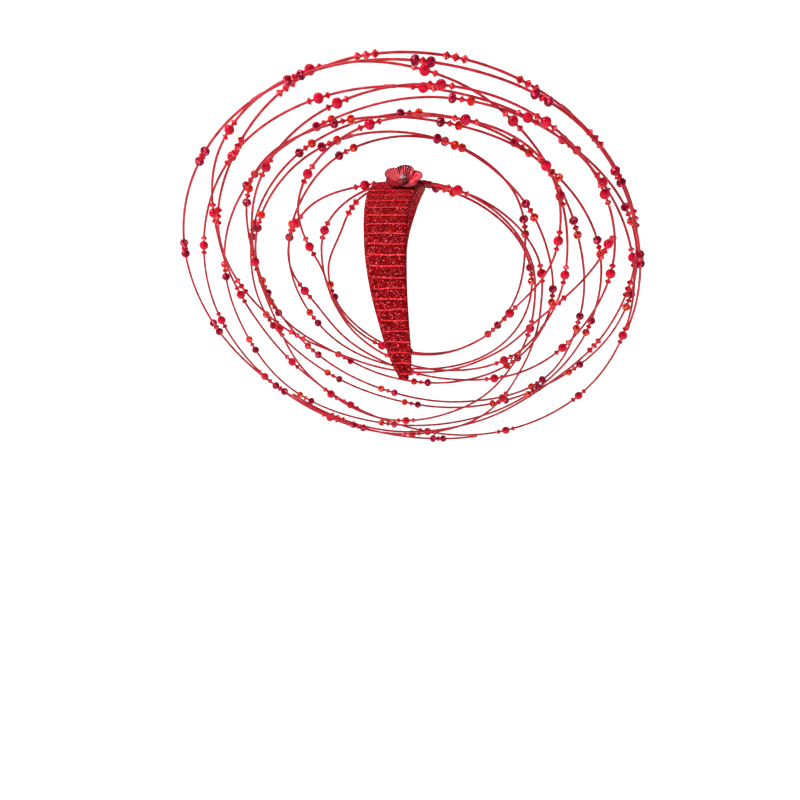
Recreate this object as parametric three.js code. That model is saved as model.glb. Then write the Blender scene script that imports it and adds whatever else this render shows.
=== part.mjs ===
// A halo fascinator: a ribbon-wrapped headband with a fluted flower on the crown and a halo of
// beaded wire turns that leans out beside the head.
// Millimetres, +Z up. The origin is the underside of the band at its crown, the face looks along -Y,
// and the wearer's right is -X.
import * as THREE from 'three';

// Headband
const headHalfWidth = 75;      // inner half width of the arch at the temples
const archRise = 88;           // height of the rounded upper part of the arch
const armDrop = 74;            // straight arm below the rounded part, on each side
const armTuck = 6;             // how far each arm leans in towards its tip
const bandWall = 3.2;          // plastic core with one layer of ribbon
const wrapStep = 0.7;          // extra height where one wrap of ribbon laps over the next
const wrapPitch = 8.2;         // from one wrap of ribbon to the next
const lapPlace = 0.94;         // share of a wrap at which its free edge stands
const crownWidth = 42;         // front to back at the crown
const tipWidth = 9;
const tipThinning = 0.7;       // share of the wall left at the very tip
const tipNarrowing = 0.5;      // share of the width left at the very tip
const armSetBack = 11;         // how far the middle of the arms lies behind the crown

// Halo of beaded wire
const haloRadius = 217.4;
const crownCrossing = new THREE.Vector3(-6.4, -11.9, 7.5);   // where the inner wires cross the crown
const crossingClock = 354;     // the crossing's place on the halo
const crossingShare = 0.51;
const haloLean = 45.6;         // degrees from upright, top leaning to the wearer's right
const haloRoll = 11.7;         // degrees, turned about the side view
const sightPoint = new THREE.Vector3(-661, 0, -181.8);   // where the turns' chart was read from
const wireDiameter = 2;
const layerPitch = 2.6;        // between the layers in which the turns lie
const middleLayer = 9;         // the layer that lies on the halo's own plane
const wireStep = 30;           // longest straight piece of a wire
const clockStep = 0.5;         // degrees between the close points of a wire's way
const turnGap = 0.3;           // between the ends of two turns that meet
const wireSides = 5;
const beadSides = 10;

// Beads
const roseBead = { diameter: 9, length: 8.4, flat: 0.5 };
const garnetBead = { diameter: 8.8, length: 6.8, flat: 0 };
const mixedPitch = 7.8;          // from the middle of a mixed group to its large bead
const darkPitch = 6;           // from the middle of a dark group to its large beads

// Flower
const flowerDiameter = 32.5;
const flowerDepth = 5;         // from the cup's floor to its rim
const flowerStalk = 1.8;       // from the foot's underside to the cup's floor
const flowerTurn = -46;        // degrees, brings one petal to the top
const petalWall = 1.2;
const petalRise = 0.6;         // share of the wall by which the cup's inside lies higher
const floorRadius = 0.8;       // smallest radius of the cup's inside
const petalCount = 5;
const petalDip = 0.2;          // share of the radius by which the rim dips between two petals
const fluteCount = 15;         // light grooves round the whole cup
const fluteDepth = 0.5;
const flowerSide = 30;         // from the middle of the crown towards the wearer's right
const flowerForward = 2.5;
const flowerTilt = 50;         // degrees from upright, towards the wearer's right
const footRadius = 1.6;
const centreBeadDiameter = 5.2;

// Binding round the wires that cross the crown
const bindingWall = 1.2;
const bindingBack = 346;       // clock angle of its rear end on the halo
const bindingFront = 362;
const bindingSections = 7;
const seatGap = 0.3;           // between pieces that rest on each other

function finish(color, roughness, metalness) {
  return new THREE.MeshStandardMaterial({ color, roughness, metalness });
}

const ribbon = finish(0xb40a18, 0.45, 0.3);
const thread = finish(0xa81c26, 0.8, 0);
const foil = finish(0xb8102c, 0.25, 0.6);
const glass = finish(0xd4103f, 0.1, 0);

const degrees = THREE.MathUtils.degToRad;
const fascinator = new THREE.Group();

function addPiece(name, geometry, material) {
  const mesh = new THREE.Mesh(geometry, material);
  mesh.name = name;
  fascinator.add(mesh);
  return mesh;
}

function signedVolume(position, index) {
  let sum = 0;
  const corner = (i) => new THREE.Vector3().fromArray(position, 3 * index[i]);
  for (let i = 0; i < index.length; i += 3) sum += corner(i).dot(corner(i + 1).cross(corner(i + 2)));
  return sum;
}

// Joins a list of rings of points into one skin, closed by a fan at each end or back into its first ring.
// Neighbouring rings have as many points as each other, or one has twice as many.
function skin(rings, backToFirst = false) {
  const position = [];
  const index = [];
  const first = rings.map((ring) => {
    const start = position.length / 3;
    ring.forEach((p) => position.push(p.x, p.y, p.z));
    return start;
  });
  const strips = backToFirst ? rings.length : rings.length - 1;
  for (let k = 0; k < strips; k += 1) {
    const other = (k + 1) % rings.length;
    const here = rings[k].length;
    const next = rings[other].length;
    const a = (i) => first[k] + (i % here);
    const b = (i) => first[other] + (i % next);
    for (let i = 0; i < Math.min(here, next); i += 1) {
      if (here === next) {
        index.push(a(i), a(i + 1), b(i + 1), a(i), b(i + 1), b(i));
      } else if (next > here) {
        index.push(a(i), b(2 * i + 1), b(2 * i), a(i), a(i + 1), b(2 * i + 1));
        index.push(a(i + 1), b(2 * i + 2), b(2 * i + 1));
      } else {
        index.push(a(2 * i), a(2 * i + 1), b(i), a(2 * i + 1), b(i + 1), b(i));
        index.push(a(2 * i + 1), a(2 * i + 2), b(i + 1));
      }
    }
  }
  if (!backToFirst) {
    const last = rings.length - 1;
    for (let i = 1; i + 1 < rings[0].length; i += 1) index.push(first[0], first[0] + i + 1, first[0] + i);
    for (let i = 1; i + 1 < rings[last].length; i += 1) {
      index.push(first[last], first[last] + i, first[last] + i + 1);
    }
  }
  if (signedVolume(position, index) < 0) index.reverse();
  const geometry = new THREE.BufferGeometry();
  geometry.setAttribute('position', new THREE.Float32BufferAttribute(position, 3));
  geometry.setIndex(index);
  geometry.computeVertexNormals();
  return geometry;
}

// Smooth value between b and c, where a and d are the values beyond them
function smoothBetween(a, b, c, d, t) {
  return b + 0.5 * t * (c - a + t * (2 * a - 5 * b + 4 * c - d + t * (3 * (b - c) + d - a)));
}

function ease(t) {
  const x = THREE.MathUtils.clamp(t, 0, 1);
  return x * x * (3 - 2 * x);
}

// Headband: sections of the wrapped band along its arch. Columns: the way down one side as a share of the
// half arch, the width as a share of the crown's, and the set-back as a share of the arms'.
const bandSections = [
  { down: 0.00, width: 1.00, back: -0.09 },
  { down: 0.18, width: 0.97, back: 0.45 },
  { down: 0.36, width: 0.86, back: 0.95 },
  { down: 0.55, width: 0.78, back: 1.00 },
  { down: 0.70, width: 0.67, back: 0.75 },
  { down: 0.83, width: 0.54, back: 0.35 },
  { down: 0.94, width: 0.38, back: -0.10 },
  { down: 1.00, width: tipWidth / crownWidth, back: -0.35 },
];

function sectionValue(column, down) {
  const rows = bandSections;
  let k = 0;
  while (k < rows.length - 2 && rows[k + 1].down < down) k += 1;
  const t = (down - rows[k].down) / (rows[k + 1].down - rows[k].down);
  const before = rows[Math.max(k - 1, 0)][column];
  const after = rows[Math.min(k + 2, rows.length - 1)][column];
  return smoothBetween(before, rows[k][column], rows[k + 1][column], after, t);
}

const roundArch = 0.5 * Math.PI * Math.sqrt((headHalfWidth ** 2 + archRise ** 2) / 2);
const halfArch = roundArch + armDrop;

// The inner line of the arch, from the crown (0) to one tip (1), as [x, z]
function archPoint(down) {
  const way = down * halfArch;
  if (way <= roundArch) {
    const t = (way / roundArch) * (Math.PI / 2);
    return [headHalfWidth * Math.sin(t), archRise * (Math.cos(t) - 1)];
  }
  const arm = (way - roundArch) / armDrop;
  return [headHalfWidth - armTuck * arm * arm, -archRise - armDrop * arm];
}

function archNormal(down) {
  const step = 0.002;
  const [x0, z0] = archPoint(Math.max(down - step, 0));
  const [x1, z1] = archPoint(Math.min(down + step, 1));
  const length = Math.hypot(x1 - x0, z1 - z0);
  return [-(z1 - z0) / length, (x1 - x0) / length];
}

// One section across the band: flat inside, softly crowned outside, with thin rounded edges
function bandRing(side, down, wall, squeeze) {
  const [x, z] = archPoint(down);
  const [nx, nz] = down === 0 ? [0, 1] : archNormal(down);
  const half = 0.5 * crownWidth * sectionValue('width', down) * squeeze;
  const middle = armSetBack * sectionValue('back', down);
  const edge = Math.min(0.3 * wall, 0.4 * half);
  const outline = [[-1, 0.4, 0], [-1, 0, edge], [1, 0, edge], [1, 0.4, 0], [0.7, 1, 0], [-0.7, 1, 0]];
  return outline.map(([s, up, inset]) => new THREE.Vector3(
    side * (x + nx * wall * up),
    middle + s * (half - inset),
    z + nz * wall * up,
  ));
}

// Each wrap of ribbon rises to its free edge, where it laps over the next one down
function headband() {
  const wraps = Math.round(halfArch / wrapPitch);
  const stations = [];
  for (let k = 0; k < wraps; k += 1) {
    stations.push({ down: (k + lapPlace) / wraps, wall: bandWall + wrapStep, squeeze: 1 });
    if (k + 1 < wraps) stations.push({ down: (k + 1) / wraps, wall: bandWall, squeeze: 1 });
  }
  stations.push({ down: 1, wall: tipThinning * bandWall, squeeze: tipNarrowing });
  const arm = (side) => stations.map(({ down, wall, squeeze }) => bandRing(side, down, wall, squeeze));
  return skin([...arm(-1).reverse(), bandRing(1, 0, bandWall, 1), ...arm(1)]);
}

addPiece('headband', headband(), ribbon);

// The halo's own plane: one direction to the face, one up and to the wearer's right
const rollTurn = new THREE.Matrix4().makeRotationX(degrees(haloRoll));
const toFace = new THREE.Vector3(0, -1, 0).applyMatrix4(rollTurn);
const upward = new THREE.Vector3(-Math.sin(degrees(haloLean)), 0, Math.cos(degrees(haloLean)));
upward.applyMatrix4(rollTurn);
const outOfPlane = new THREE.Vector3().crossVectors(toFace, upward);
const crossingReach = crossingShare * haloRadius;
const haloCentre = crownCrossing.clone()
  .addScaledVector(toFace, -crossingReach * Math.sin(degrees(crossingClock)))
  .addScaledVector(upward, -crossingReach * Math.cos(degrees(crossingClock)));

// A point of the halo by its clock angle, its share of the halo's radius and its height off the plane.
// The layers are spread along the line of sight, so that the side view of the turns stays as charted.
function haloPoint(clock, share, height) {
  const turn = degrees(clock);
  const point = haloCentre.clone()
    .addScaledVector(toFace, share * haloRadius * Math.sin(turn))
    .addScaledVector(upward, share * haloRadius * Math.cos(turn));
  const sight = point.clone().sub(sightPoint);
  return point.addScaledVector(sight, height / sight.dot(outOfPlane));
}

// The wires, as chosen points. A wire starts at a clock hour and has one share of the halo's radius for
// each hour from there on, and a closed wire runs back into its own start. Its turns are cut at the
// given hours, and each turn has its layer and the clock angles of its groups of beads. A free end lies
// in the layer of the wire that it is tied to.
const wires = [
  {
    name: 'rose_string', groupOf: 'rose', startHour: 5, closed: true,
    shares: [
      0.90, 1.00, 1.00, 0.965, 0.925, 0.908, 0.885, 0.883, 0.917, 0.948, 0.985, 1.02,
      1.00, 0.895, 0.808, 0.785, 0.85, 0.965, 0.99, 0.93, 0.82, 0.71, 0.648, 0.61,
      0.53, 0.455, 0.40, 0.37, 0.395, 0.59, 0.715, 0.785, 0.812, 0.665, 0.49, 0.44,
      0.42, 0.40, 0.38, 0.365, 0.385, 0.443, 0.482, 0.509, 0.53, 0.55, 0.57, 0.65,
      0.79, 0.89, 0.80, 0.69, 0.70, 0.772, 0.84, 0.902, 0.93, 0.90, 0.81, 0.72,
      0.59, 0.50, 0.46, 0.455, 0.54, 0.548, 0.505, 0.502, 0.54, 0.58, 0.60, 0.70,
    ],
    turns: [
      {
        hours: 12, layer: 4,
        groups: [170, 196, 220, 243, 269, 299.5, 329, 355, 380.5, 405, 427.5, 452, 476, 501],
      },
      { hours: 12, layer: 8, groups: [165, 192, 219, 251.5, 280.5, 305, 330, 355, 378, 402.5, 431.5, 482] },
      { hours: 12, layer: 12, groups: [180, 281.5, 312.5, 340, 367, 392.5, 417, 455] },
      { hours: 12, layer: 9, crown: true, groups: [190, 296, 374, 460] },
      { hours: 12, layer: 11, groups: [172, 200, 234, 266, 303.5, 333, 359, 384.5, 408, 432, 463, 492] },
      { hours: 12, layer: 7, crown: true, groups: [170, 251.5, 291, 331, 430, 495] },
    ],
  },
  {
    name: 'mixed_string', groupOf: 'mixed', startHour: 5, closed: true,
    shares: [
      0.88, 0.925, 0.95, 0.875, 0.83, 0.797, 0.795, 0.857, 0.918, 0.975, 0.94, 0.855,
      0.79, 0.73, 0.713, 0.723, 0.712, 0.722, 0.752, 0.79, 0.80, 0.76, 0.775, 0.82,
      0.75, 0.68, 0.65, 0.652, 0.69, 0.70, 0.713, 0.698, 0.655, 0.628, 0.638, 0.64,
      0.61, 0.58, 0.572, 0.655, 0.705, 0.80, 0.778, 0.765, 0.802, 0.83, 0.828, 0.842,
    ],
    turns: [
      {
        hours: 12, layer: 0,
        groups: [178, 206, 231.7, 261, 296.7, 327.3, 364.5, 392.4, 415.3, 440.7, 468.5, 497],
      },
      { hours: 12, layer: 1, groups: [170, 203.5, 239, 279.5, 318, 351.8, 384, 414.3, 451, 481] },
      { hours: 12, layer: 6, groups: [180, 218, 254.6, 284, 325.7, 363.5, 401.5, 441, 480] },
      { hours: 12, layer: 3, groups: [165, 205, 244.3, 291.3, 332.5, 363.2, 395, 422.7, 451.7, 484.3] },
    ],
  },
  {
    name: 'inner_mixed_string', groupOf: 'mixed', startHour: 5, closed: true,
    shares: [
      0.51, 0.50, 0.505, 0.51, 0.538, 0.585, 0.66, 0.695, 0.65, 0.53, 0.47, 0.44,
      0.415, 0.385, 0.36, 0.355, 0.36, 0.375, 0.468, 0.492, 0.515, 0.54, 0.54, 0.53,
    ],
    turns: [
      { hours: 12, layer: 2, groups: [233.5, 286, 329.7, 366, 406.3, 470] },
      { hours: 12, layer: 5, crown: true, groups: [175, 250, 368.5, 430] },
    ],
  },
  {
    name: 'seed_string', groupOf: 'seed', startHour: 2, closed: false, tiedLayers: [11, 14],
    shares: [
      0.889, 0.625, 0.55, 0.53, 0.53, 0.57, 0.71, 0.845, 0.905, 0.98,
      1.005, 1.005, 0.985, 0.913, 0.858, 0.91, 0.979, 0.976,
    ],
    turns: [
      { hours: 9, layer: 13, groups: [] },
      { hours: 8, layer: 10, groups: [] },
    ],
  },
  {
    name: 'rim_string', groupOf: 'dark', startHour: 5, closed: false, tiedLayers: [6, 4],
    shares: [1.011, 1.00, 0.993, 1.01, 1.016, 1.003, 0.983, 0.975, 0.998, 0.985, 0.993],
    turns: [
      { hours: 10, layer: 14, groups: [162, 187, 213.9, 241, 267, 294.7, 326, 354.5, 380.5, 405.5, 428.3] },
    ],
  },
];

// The large beads of one group, by their place along the wire from the group's middle
const groupBeads = {
  rose: [{ place: 0, bead: roseBead }],
  mixed: [{ place: -mixedPitch, bead: garnetBead }],
  dark: [{ place: -darkPitch, bead: garnetBead }, { place: darkPitch, bead: garnetBead }],
  seed: [],
};

const hourAngle = 30;

function shareOn(wire, clock) {
  const count = wire.shares.length;
  const way = (clock - hourAngle * wire.startHour) / hourAngle;
  const k = wire.closed ? Math.floor(way) : THREE.MathUtils.clamp(Math.floor(way), 0, count - 2);
  const at = (i) => {
    if (wire.closed) return wire.shares[((i % count) + count) % count];
    if (i < 0) return 2 * wire.shares[0] - wire.shares[1];
    if (i > count - 1) return 2 * wire.shares[count - 1] - wire.shares[count - 2];
    return wire.shares[i];
  };
  return smoothBetween(at(k - 1), at(k), at(k + 1), at(k + 2), way - k);
}

// A turn's height off the halo's plane: its own layer's, but halfway to the next turn's where they meet,
// and in the layer of the wire that it is tied to at a free end
function turnHeight(wire, number, clock, from, to) {
  const layers = wire.turns.map((turn) => turn.layer);
  const count = layers.length;
  const own = layers[number];
  const tiedHere = !wire.closed && number === 0;
  const tiedThere = !wire.closed && number === count - 1;
  const before = tiedHere ? wire.tiedLayers[0] : (own + layers[(number + count - 1) % count]) / 2;
  const after = tiedThere ? wire.tiedLayers[1] : (own + layers[(number + 1) % count]) / 2;
  const toBefore = 1 - ease((clock - from) / hourAngle);
  const toAfter = 1 - ease((to - clock) / hourAngle);
  return layerPitch * (own + toBefore * (before - own) + toAfter * (after - own) - middleLayer);
}

// The wire's way through one turn, as close points with their distance from its start
function turnPath(wire, number) {
  const hoursBefore = wire.turns.slice(0, number).reduce((sum, turn) => sum + turn.hours, 0);
  const chartStart = hourAngle * (wire.startHour + hoursBefore);
  const wound = wire.closed || wire.turns.length > 1 ? 360 * Math.floor(hoursBefore / 12) : 0;
  const from = chartStart - wound;
  const to = from + hourAngle * wire.turns[number].hours;
  const path = [];
  let way = 0;
  for (let clock = from; clock <= to + 1e-6; clock += clockStep) {
    const point = haloPoint(clock, shareOn(wire, clock + wound), turnHeight(wire, number, clock, from, to));
    if (path.length) way += point.distanceTo(path[path.length - 1].point);
    path.push({ clock, way, point });
  }
  return path;
}

function pointAt(path, way) {
  let k = 0;
  while (k < path.length - 2 && path[k + 1].way < way) k += 1;
  const t = (way - path[k].way) / (path[k + 1].way - path[k].way);
  return path[k].point.clone().lerp(path[k + 1].point, t);
}

function wayAt(path, clock) {
  const k = THREE.MathUtils.clamp(Math.floor((clock - path[0].clock) / clockStep), 0, path.length - 2);
  const t = (clock - path[k].clock) / (path[k + 1].clock - path[k].clock);
  return path[k].way + t * (path[k + 1].way - path[k].way);
}

// Clock angles of the binding's sections, where the wires inside it have a ring each too
const bindingClocks = Array.from({ length: bindingSections }, (_, k) => (
  bindingBack + (k / (bindingSections - 1)) * (bindingFront - bindingBack)
));

// Rings of one turn: the bare wire's, and for each bead its two ends and its two widest rings
function turnStations(path, groups, kind, marks) {
  const length = path[path.length - 1].way;
  const beads = groups
    .flatMap((clock) => groupBeads[kind].map(({ place, bead }) => {
      const middle = wayAt(path, clock) + place;
      return { middle, bead };
    }))
    .filter(({ middle, bead }) => middle > bead.length && middle < length - bead.length);
  const wire = wireDiameter / 2;
  const stations = [{ way: turnGap / 2, radius: wire, sides: wireSides }];
  const stretchTo = (way) => {
    const from = stations[stations.length - 1].way;
    const pieces = Math.ceil((way - from) / wireStep);
    for (let k = 1; k <= pieces; k += 1) {
      stations.push({ way: from + (k / pieces) * (way - from), radius: wire, sides: wireSides });
    }
  };
  const runTo = (way) => {
    const from = stations[stations.length - 1].way;
    marks.filter((mark) => mark > from + 1 && mark < way - 1).forEach(stretchTo);
    stretchTo(way);
  };
  for (const { middle, bead } of beads) {
    runTo(middle - bead.length / 2);
    for (const side of bead.flat ? [-0.5, 0.5] : [0]) {
      const way = middle + side * bead.flat * bead.length;
      stations.push({ way, radius: bead.diameter / 2, sides: beadSides });
    }
    stations.push({ way: middle + bead.length / 2, radius: wire, sides: wireSides });
  }
  runTo(length - turnGap / 2);
  return stations;
}

function stringTurn(wire, number) {
  const path = turnPath(wire, number);
  const reach = 1;
  let side = outOfPlane.clone();
  const turn = wire.turns[number];
  const marks = turn.crown ? bindingClocks.map((clock) => wayAt(path, clock)) : [];
  const rings = turnStations(path, turn.groups, wire.groupOf, marks).map(({ way, radius, sides }) => {
    const middle = pointAt(path, way);
    const tangent = pointAt(path, way + reach).sub(pointAt(path, way - reach)).normalize();
    side = side.addScaledVector(tangent, -side.dot(tangent)).normalize();
    const other = new THREE.Vector3().crossVectors(tangent, side);
    return Array.from({ length: sides }, (_, i) => {
      const angle = (2 * Math.PI * i) / sides;
      return middle.clone()
        .addScaledVector(side, radius * Math.cos(angle))
        .addScaledVector(other, radius * Math.sin(angle));
    });
  });
  return skin(rings);
}

for (const wire of wires) {
  wire.turns.forEach((turn, number) => {
    const name = wire.turns.length > 1 ? `${wire.name}_${number + 1}` : wire.name;
    addPiece(name, stringTurn(wire, number), thread);
  });
}

// Binding: a flat sleeve of ribbon wound round the three wires that cross the crown. Each of its sections
// is worked out from where the wires run, so that they pass through it with a small gap.
function crownWires(clock) {
  const [rose, , inner] = wires;
  const from = hourAngle * rose.startHour;
  const crossing = [[rose, 3], [rose, 5], [inner, 1]];
  return crossing.map(([wire, number]) => {
    const height = turnHeight(wire, number, clock, from, from + 360);
    return haloPoint(clock, shareOn(wire, clock + 360 * number), height);
  });
}

function bindingRing(clock, grow) {
  const [near, between, far] = crownWires(clock);
  const [nearNext, betweenNext, farNext] = crownWires(clock + 1);
  const ahead = betweenNext.sub(between).normalize();
  for (const [wire, next] of [[near, nearNext], [far, farNext]]) {
    const run = next.sub(wire).normalize();
    wire.addScaledVector(run, between.clone().sub(wire).dot(ahead) / run.dot(ahead));
  }
  const middle = near.clone().add(far).multiplyScalar(0.5);
  const wide = far.clone().sub(near);
  const halfWidth = wide.length() / 2 + wireDiameter / 2 + 2 * seatGap + grow;
  wide.normalize();
  const high = new THREE.Vector3().crossVectors(wide, ahead).normalize();
  const bow = between.clone().sub(middle).dot(high);
  middle.addScaledVector(high, bow / 2);
  const halfHeight = Math.abs(bow) / 2 + wireDiameter / 2 + seatGap + grow;
  const corner = [[-1, -0.6], [-1, 0.6], [-0.86, 1], [0.86, 1], [1, 0.6], [1, -0.6], [0.86, -1], [-0.86, -1]];
  return corner.map(([x, y]) => middle.clone()
    .addScaledVector(wide, x * halfWidth)
    .addScaledVector(high, y * halfHeight));
}

function binding() {
  const outside = bindingClocks.map((clock) => bindingRing(clock, bindingWall));
  const inside = bindingClocks.map((clock) => bindingRing(clock, 0));
  return skin([...outside, ...inside.reverse()], true);
}

addPiece('binding', binding(), ribbon);

// Flower: a fluted cup of petals on a short stalk, round its own axis. Columns: the radius and the height
// as shares of the flower's, and how strongly the flutes and petals show there.
const cupSections = [
  { radius: 0.24, height: -0.15, show: 0 },
  { radius: 0.32, height: 0.05, show: 0.1 },
  { radius: 0.60, height: 0.32, show: 0.5 },
  { radius: 0.86, height: 0.66, show: 0.9 },
  { radius: 1.00, height: 1.00, show: 1 },
];
const cupFloor = cupSections[1];

function flowerRing(section, inward, frame) {
  const rim = flowerDiameter / 2;
  const sides = 2 * fluteCount;
  return Array.from({ length: sides }, (_, i) => {
    const turn = (2 * Math.PI * i) / sides;
    const petal = Math.abs(Math.sin((petalCount * (turn - degrees(flowerTurn))) / 2));
    const dip = 1 - petalDip * section.show * (1 - petal);
    const flute = (i % 2 ? 0.5 : -0.5) * fluteDepth * section.show;
    const radius = Math.max(section.radius * rim * dip - inward, floorRadius) + flute;
    const height = section.height * flowerDepth + petalRise * inward;
    return frame(radius * Math.cos(turn), radius * Math.sin(turn), height);
  });
}

function stalkRing(radius, height, frame) {
  const sides = 2 * fluteCount;
  return Array.from({ length: sides }, (_, i) => {
    const turn = (2 * Math.PI * i) / sides;
    return frame(radius * Math.cos(turn), radius * Math.sin(turn), height);
  });
}

// The flower leans over its foot, and the lowest edge of the foot stands just off the ribbon
function flowerFrame() {
  const tilt = degrees(flowerTilt);
  const axis = new THREE.Vector3(-Math.sin(tilt), 0, Math.cos(tilt));
  const sideways = new THREE.Vector3(Math.cos(tilt), 0, Math.sin(tilt));
  const down = flowerSide / halfArch;
  const [x, z] = archPoint(down);
  const [nx, nz] = archNormal(down);
  const lean = tilt - Math.atan2(nx, nz);
  const rise = bandWall + wrapStep + seatGap + flowerStalk * Math.cos(lean) + footRadius * Math.sin(lean);
  const floor = new THREE.Vector3(-(x + nx * rise), -flowerForward, z + nz * rise);
  return (a, b, c) => floor.clone()
    .addScaledVector(sideways, a)
    .addScaledVector(axis, c)
    .add(new THREE.Vector3(0, b, 0));
}

function flower() {
  const frame = flowerFrame();
  const stalk = [1, 0.5].map((share) => stalkRing(footRadius, -share * flowerStalk, frame));
  const outer = cupSections.map((section) => flowerRing(section, 0, frame));
  const inner = cupSections.slice(1).map((section) => flowerRing(section, petalWall, frame));
  return skin([...stalk, ...outer, ...inner.reverse()]);
}

function centreBead() {
  const frame = flowerFrame();
  const radius = centreBeadDiameter / 2;
  const floor = cupFloor.height * flowerDepth + petalRise * petalWall + seatGap;
  const rings = [];
  for (let k = 1; k <= 5; k += 1) {
    const tip = (Math.PI * k) / 6;
    rings.push(Array.from({ length: beadSides }, (_, i) => {
      const turn = (2 * Math.PI * i) / beadSides;
      const reach = radius * Math.sin(tip);
      return frame(reach * Math.cos(turn), reach * Math.sin(turn), floor + radius * (1 - Math.cos(tip)));
    }));
  }
  return skin(rings);
}

addPiece('flower', flower(), foil);
addPiece('flower_centre', centreBead(), glass);

export default fascinator;
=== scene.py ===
import math
import random

import bpy
from mathutils import Matrix, Vector


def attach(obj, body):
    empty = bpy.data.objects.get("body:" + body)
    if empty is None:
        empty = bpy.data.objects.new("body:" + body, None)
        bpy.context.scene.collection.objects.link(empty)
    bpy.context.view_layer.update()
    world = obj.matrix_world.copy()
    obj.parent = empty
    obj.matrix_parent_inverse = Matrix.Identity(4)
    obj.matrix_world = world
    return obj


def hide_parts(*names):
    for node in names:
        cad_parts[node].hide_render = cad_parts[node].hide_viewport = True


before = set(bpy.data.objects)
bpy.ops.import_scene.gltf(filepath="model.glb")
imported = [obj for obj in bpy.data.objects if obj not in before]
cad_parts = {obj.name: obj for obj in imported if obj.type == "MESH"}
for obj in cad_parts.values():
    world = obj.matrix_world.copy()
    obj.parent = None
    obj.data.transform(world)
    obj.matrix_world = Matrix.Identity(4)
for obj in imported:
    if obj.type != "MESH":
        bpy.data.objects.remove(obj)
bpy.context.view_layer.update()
mm = 0.001
print("frame loaded")


# helpers used by every piece

def linear(code):
    parts = [int(code[i:i + 2], 16) / 255 for i in (1, 3, 5)]
    return tuple(p / 12.92 if p <= 0.04045 else ((p + 0.055) / 1.055) ** 2.4 for p in parts) + (1.0,)


def addNode(tree, kind, settings=None, values=None, links=None, stops=()):
    node = tree.nodes.new(kind)
    for key, value in (settings or {}).items():
        setattr(node, key, value)
    for key, value in (values or {}).items():
        node.inputs[key].default_value = value
    for key, source in (links or {}).items():
        tree.links.new(source, node.inputs[key])
    if stops:       # a colour ramp: place from 0 to 1, and hex colour
        elements = node.color_ramp.elements
        while len(elements) < len(stops):
            elements.new(0.5)
        for element, (place, code) in zip(elements, stops):
            element.position = place
            element.color = linear(code)
    return node


def newMaterial(name, surface):
    material = bpy.data.materials.new(name)
    material.use_nodes = True
    tree = material.node_tree
    shader = tree.nodes["Principled BSDF"]
    for socket, value in surface.items():
        shader.inputs[socket].default_value = value
    return material, tree, shader


def perMillimetre(size):
    return 1 / (size * mm)      # texture scale for a cell of that size, on coordinates in metres


def newMesh(name, points, faces, materials, faceMaterial=None, smooth=True, uv=None):
    mesh = bpy.data.meshes.new(name)
    mesh.from_pydata([tuple(c * mm for c in p) for p in points], [], faces)
    for material in materials:
        mesh.materials.append(material)
    for i, face in enumerate(mesh.polygons):
        face.use_smooth = smooth[i] if isinstance(smooth, list) else smooth
        if faceMaterial:
            face.material_index = faceMaterial[i]
    if uv:
        layer = mesh.uv_layers.new(name="length")
        for face, corners in zip(mesh.polygons, uv):
            for loop, place in zip(face.loop_indices, corners):
                layer.data[loop].uv = place
    mesh.validate()
    piece = bpy.data.objects.new(name, mesh)
    bpy.context.scene.collection.objects.link(piece)
    return piece


def smoothBetween(a, b, c, d, t):
    return b + 0.5 * t * (c - a + t * (2 * a - 5 * b + 4 * c - d + t * (3 * (b - c) + d - a)))


def ease(t):
    x = min(max(t, 0), 1)
    return x * x * (3 - 2 * x)


# materials, each with its colours beside it

def wrappedWire():      # steel wire wound with rayon thread: a soft gloss along the wire, and a fine spiral
    threadPitch = 2.2       # real thread is about 0.25 mm, drawn coarser so that it shows
    bandLength = 0.628      # between two bands of a diagonal wave with scale 1
    material, tree, shader = newMaterial("rayonWrappedWire", {
        "Roughness": 0.42, "IOR": 1.5, "Specular IOR Level": 0.21})
    place = addNode(tree, "ShaderNodeUVMap", {"uv_map": "length"}).outputs["UV"]
    spiral = addNode(tree, "ShaderNodeTexWave", {"wave_type": "BANDS", "bands_direction": "DIAGONAL"},
                     {"Scale": bandLength / threadPitch, "Distortion": 0.6, "Detail": 2.0}, {"Vector": place})
    body = addNode(tree, "ShaderNodeTexCoord").outputs["Object"]
    patches = addNode(tree, "ShaderNodeTexNoise", None,
                      {"Scale": perMillimetre(9), "Detail": 3.0}, {"Vector": body})
    colour = addNode(tree, "ShaderNodeValToRGB", None, None, {"Fac": patches.outputs["Fac"]},
                     [(0.3, "#980C1A"), (0.5, "#BE1828"), (0.7, "#D42A3C")])
    shade = addNode(tree, "ShaderNodeValToRGB", None, None, {"Fac": spiral.outputs["Fac"]},
                    [(0.1, "#DADADA"), (0.6, "#FFFFFF")])
    paint = addNode(tree, "ShaderNodeMix", {"data_type": "RGBA", "blend_type": "MULTIPLY"}, {0: 1},
                    {6: colour.outputs["Color"], 7: shade.outputs["Color"]})
    tree.links.new(paint.outputs[2], shader.inputs["Base Color"])
    bump = addNode(tree, "ShaderNodeBump", None, {"Strength": 0.3, "Distance": 0.1 * mm},
                   {"Height": spiral.outputs["Fac"]})
    tree.links.new(bump.outputs["Normal"], shader.inputs["Normal"])
    return material


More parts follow.
